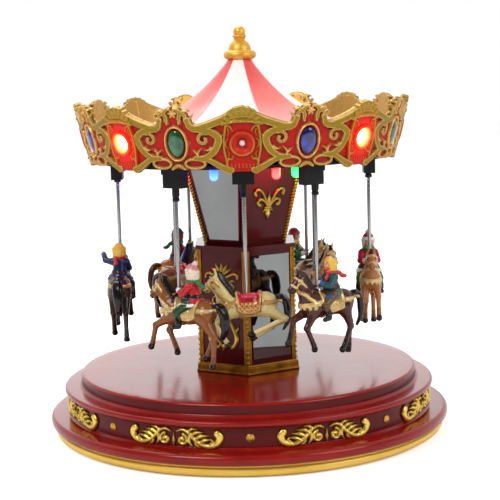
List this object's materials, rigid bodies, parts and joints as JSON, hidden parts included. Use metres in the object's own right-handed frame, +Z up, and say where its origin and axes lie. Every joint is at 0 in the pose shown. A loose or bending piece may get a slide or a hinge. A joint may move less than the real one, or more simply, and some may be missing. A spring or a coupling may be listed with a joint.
{
  "type": "wind-up carousel music box",
  "caption": "Wind-up musical carousel: horses on rising poles turn round a mirrored column under a striped tent canopy with lamps, on a stepped round base.",
  "frame": {"origin": "middle of the foot ring on the surface it stands on", "axes": "+Z up along the carousel's axis, -Y towards the front, +X to the right seen from the front"},
  "size_m": [0.25, 0.25, 0.251],
  "materials": {
    "lacquer_red": "semi-gloss dark red lacquer",
    "gilt": "antique gold paint",
    "panel_maroon": "gloss maroon",
    "board_red": "red moulding with antique gold scrollwork",
    "canopy_paint": "white and red stripes",
    "black_plastic": "satin black",
    "mirror_glass": "silvered acrylic",
    "emerald": "green faceted acrylic",
    "sapphire": "blue faceted acrylic",
    "lamp_lens": "translucent lens",
    "steel": "bright zinc",
    "brass": "satin",
    "white_acetal": "moulded gear plastic",
    "pole_steel": "drawn rod with a black hanger",
    "crank_plastic": "moulded gear plastic",
    "painted_resin": "hand-painted casting"
  },
  "bodies": {
    "base": {"foot_ring": "gilt", "base_shell": "lacquer_red", "base_plate": "steel", "screws": "steel", "base_ornaments": "gilt", "center_post": "steel", "crown_wheel": "white_acetal", "movement_bedplate": "brass", "comb": "steel"},
    "carousel": {"drive_tube": "brass", "column_foot": "gilt", "column_lower": "panel_maroon", "column_upper": "panel_maroon", "column_mirrors": "mirror_glass", "panel_ornaments": "gilt", "column_frame": "gilt", "ceiling_plate": "black_plastic", "pole_sleeves": "black_plastic", "rounding_boards": "board_red", "gems_green": "emerald", "gems_blue": "sapphire", "crown_lamps": "lamp_lens", "tent_roof": "canopy_paint", "finial": "gilt", "lamp_string": "lamp_lens", "batteries": "steel"},
    "barrel": {"spring_barrel": "brass", "mainspring": "steel"},
    "cylinder": {"pinned_cylinder": "brass"},
    "governor": {"governor": "white_acetal"},
    "key": {"winding_arbor": "steel", "winding_key": "brass"},
    "switch": {"switch_slider": "black_plastic"},
    "crank_1": {"crank_1": "crank_plastic"},
    "horse_1": {"pole_1": "pole_steel", "horse_1": "painted_resin"},
    "crank_2": {"crank_2": "crank_plastic"},
    "horse_2": {"pole_2": "pole_steel", "horse_2": "painted_resin"},
    "crank_3": {"crank_3": "crank_plastic"},
    "horse_3": {"pole_3": "pole_steel", "horse_3": "painted_resin"},
    "crank_4": {"crank_4": "crank_plastic"},
    "horse_4": {"pole_4": "pole_steel", "horse_4": "painted_resin"},
    "crank_5": {"crank_5": "crank_plastic"},
    "horse_5": {"pole_5": "pole_steel", "horse_5": "painted_resin"},
    "crank_6": {"crank_6": "crank_plastic"},
    "horse_6": {"pole_6": "pole_steel", "horse_6": "painted_resin"},
    "crank_7": {"crank_7": "crank_plastic"},
    "horse_7": {"pole_7": "pole_steel", "horse_7": "painted_resin"},
    "crank_8": {"crank_8": "crank_plastic"},
    "horse_8": {"pole_8": "pole_steel", "horse_8": "painted_resin"},
    "crank_9": {"crank_9": "crank_plastic"},
    "horse_9": {"pole_9": "pole_steel", "horse_9": "painted_resin"}
  },
  "joints": [
    {"name": "carousel_spin", "type": "hinge", "parent": "base", "child": "carousel", "pos_m": [0, 0, 0.04], "axis": [0, 0, 1], "continuous": true},
    {"name": "barrel_spin", "type": "hinge", "parent": "base", "child": "barrel", "pos_m": [0, 0.036, 0.015], "axis": [0, 0, 1], "continuous": true},
    {"name": "cylinder_spin", "type": "hinge", "parent": "base", "child": "cylinder", "pos_m": [0.03, 0.036, 0.02588], "axis": [1, 0, 0], "continuous": true},
    {"name": "governor_spin", "type": "hinge", "parent": "base", "child": "governor", "pos_m": [0.06, 0.028, 0.02588], "axis": [1, 0, 0], "continuous": true},
    {"name": "key_wind", "type": "hinge", "parent": "base", "child": "key", "pos_m": [0, 0.036, 0.005], "axis": [0, 0, 1], "range_deg": [0, 1440]},
    {"name": "switch_slide", "type": "slide", "parent": "carousel", "child": "switch", "axis": [-1, 0, 0], "range_m": [0, 0.0025]},
    {"name": "crank_1_turn", "type": "hinge", "parent": "carousel", "child": "crank_1", "pos_m": [-0.0392, 0.0679, 0.17878], "axis": [-0.5, 0.866, 0], "continuous": true},
    {"name": "horse_1_hang", "type": "hinge", "parent": "crank_1", "child": "horse_1", "pos_m": [-0.03695, 0.0692, 0.18028], "axis": [-0.5, 0.866, 0], "continuous": true},
    {"name": "crank_2_turn", "type": "hinge", "parent": "carousel", "child": "crank_2", "pos_m": [-0.0784, 0, 0.17878], "axis": [-1, 0, 0], "continuous": true},
    {"name": "horse_2_hang", "type": "hinge", "parent": "crank_2", "child": "horse_2", "pos_m": [-0.0784, 0, 0.18178], "axis": [-1, 0, 0], "continuous": true},
    {"name": "crank_3_turn", "type": "hinge", "parent": "carousel", "child": "crank_3", "pos_m": [-0.0392, -0.0679, 0.17878], "axis": [-0.5, -0.866, 0], "continuous": true},
    {"name": "horse_3_hang", "type": "hinge", "parent": "crank_3", "child": "horse_3", "pos_m": [-0.0392, -0.0679, 0.17578], "axis": [-0.5, -0.866, 0], "continuous": true},
    {"name": "crank_4_turn", "type": "hinge", "parent": "carousel", "child": "crank_4", "pos_m": [0.0392, -0.0679, 0.17878], "axis": [0.5, -0.866, 0], "continuous": true},
    {"name": "horse_4_hang", "type": "hinge", "parent": "crank_4", "child": "horse_4", "pos_m": [0.04145, -0.0666, 0.17728], "axis": [0.5, -0.866, 0], "continuous": true},
    {"name": "crank_5_turn", "type": "hinge", "parent": "carousel", "child": "crank_5", "pos_m": [0.0784, 0, 0.17878], "axis": [1, 0, 0], "continuous": true},
    {"name": "horse_5_hang", "type": "hinge", "parent": "crank_5", "child": "horse_5", "pos_m": [0.0784, 0.0026, 0.18028], "axis": [1, 0, 0], "continuous": true},
    {"name": "crank_6_turn", "type": "hinge", "parent": "carousel", "child": "crank_6", "pos_m": [0.0392, 0.0679, 0.17878], "axis": [0.5, 0.866, 0], "continuous": true},
    {"name": "horse_6_hang", "type": "hinge", "parent": "crank_6", "child": "horse_6", "pos_m": [0.04145, 0.0666, 0.17728], "axis": [0.5, 0.866, 0], "continuous": true},
    {"name": "crank_7_turn", "type": "hinge", "parent": "carousel", "child": "crank_7", "pos_m": [0, -0.0534, 0.17878], "axis": [0, -1, 0], "continuous": true},
    {"name": "horse_7_hang", "type": "hinge", "parent": "crank_7", "child": "horse_7", "pos_m": [0, -0.0534, 0.17578], "axis": [0, -1, 0], "continuous": true},
    {"name": "crank_8_turn", "type": "hinge", "parent": "carousel", "child": "crank_8", "pos_m": [0.04625, 0.0267, 0.17878], "axis": [0.866, 0.5, 0], "continuous": true},
    {"name": "horse_8_hang", "type": "hinge", "parent": "crank_8", "child": "horse_8", "pos_m": [0.04495, 0.02895, 0.18028], "axis": [0.866, 0.5, 0], "continuous": true},
    {"name": "crank_9_turn", "type": "hinge", "parent": "carousel", "child": "crank_9", "pos_m": [-0.04625, 0.0267, 0.17878], "axis": [-0.866, 0.5, 0], "continuous": true},
    {"name": "horse_9_hang", "type": "hinge", "parent": "crank_9", "child": "horse_9", "pos_m": [-0.04495, 0.02895, 0.18028], "axis": [-0.866, 0.5, 0], "continuous": true}
  ],
  "couplings": [
    {"joint": "barrel_spin", "follows": "carousel_spin", "ratio": -0.5},
    {"joint": "cylinder_spin", "follows": "carousel_spin", "ratio": -2},
    {"joint": "governor_spin", "follows": "carousel_spin", "ratio": 6},
    {"joint": "crank_1_turn", "follows": "carousel_spin", "ratio": -6},
    {"joint": "horse_1_hang", "follows": "carousel_spin", "ratio": 6},
    {"joint": "crank_2_turn", "follows": "carousel_spin", "ratio": -6},
    {"joint": "horse_2_hang", "follows": "carousel_spin", "ratio": 6},
    {"joint": "crank_3_turn", "follows": "carousel_spin", "ratio": -6},
    {"joint": "horse_3_hang", "follows": "carousel_spin", "ratio": 6},
    {"joint": "crank_4_turn", "follows": "carousel_spin", "ratio": -6},
    {"joint": "horse_4_hang", "follows": "carousel_spin", "ratio": 6},
    {"joint": "crank_5_turn", "follows": "carousel_spin", "ratio": -6},
    {"joint": "horse_5_hang", "follows": "carousel_spin", "ratio": 6},
    {"joint": "crank_6_turn", "follows": "carousel_spin", "ratio": -6},
    {"joint": "horse_6_hang", "follows": "carousel_spin", "ratio": 6},
    {"joint": "crank_7_turn", "follows": "carousel_spin", "ratio": -6},
    {"joint": "horse_7_hang", "follows": "carousel_spin", "ratio": 6},
    {"joint": "crank_8_turn", "follows": "carousel_spin", "ratio": -6},
    {"joint": "horse_8_hang", "follows": "carousel_spin", "ratio": 6},
    {"joint": "crank_9_turn", "follows": "carousel_spin", "ratio": -6},
    {"joint": "horse_9_hang", "follows": "carousel_spin", "ratio": 6}
  ]
}
